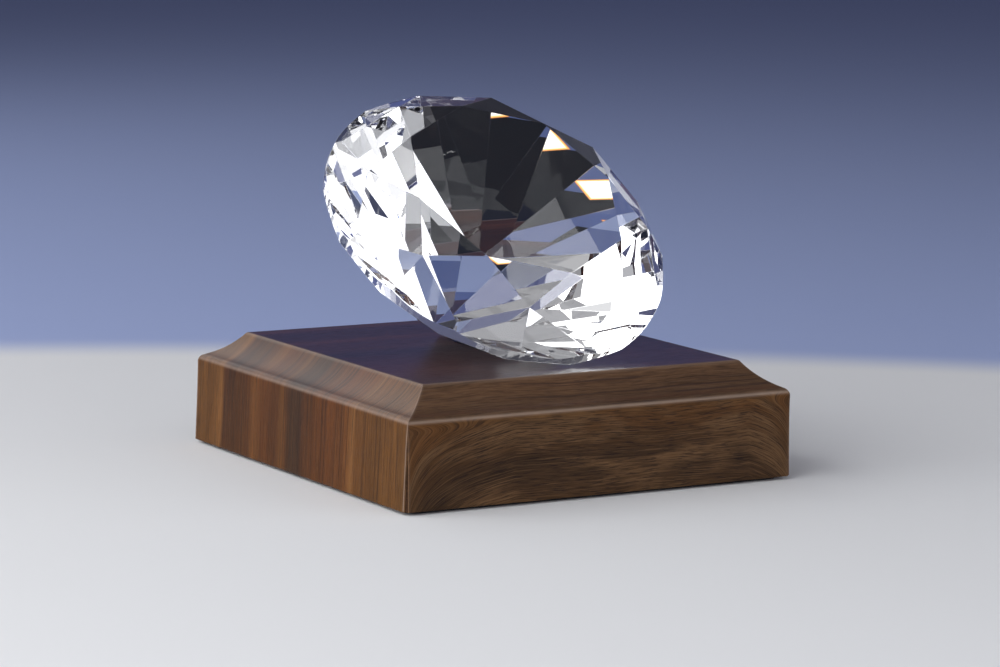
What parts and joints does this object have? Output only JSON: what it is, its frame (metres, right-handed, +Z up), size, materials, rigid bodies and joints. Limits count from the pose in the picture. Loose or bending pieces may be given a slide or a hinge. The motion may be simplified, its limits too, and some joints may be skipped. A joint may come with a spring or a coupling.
{
  "type": "crystal award",
  "caption": "Round brilliant-cut crystal lying on one facet on a square wood-grain plinth with coved edges and a thin dark foot pad.",
  "frame": {"origin": "on the surface the award stands on, under the middle of the square plinth", "axes": "+Z up; X and Y parallel to the plinth's sides; -Y is the side that the crystal's flat table leans towards"},
  "size_m": [0.122, 0.122, 0.0996],
  "materials": {
    "crystal": "clear colourless optical crystal, flat polished facets with crisp edges",
    "clear_bond": "cured clear adhesive film",
    "wood_grain_wrap": "walnut-brown wood-grain sheet under a glossy clear lacquer, edges rubbed lighter",
    "base_core": "fibreboard core, stained red-brown where it shows in the corner seams",
    "foot_pad": "black closed-cell foam sheet, dull",
    "pad_adhesive": "thin double-sided adhesive film"
  },
  "bodies": {
    "root": {"crystal_gem": "crystal", "gem_bond": "clear_bond", "base_wrap": "wood_grain_wrap", "base_core": "base_core", "base_pad": "foot_pad", "pad_adhesive": "pad_adhesive"}
  },
  "joints": []
}
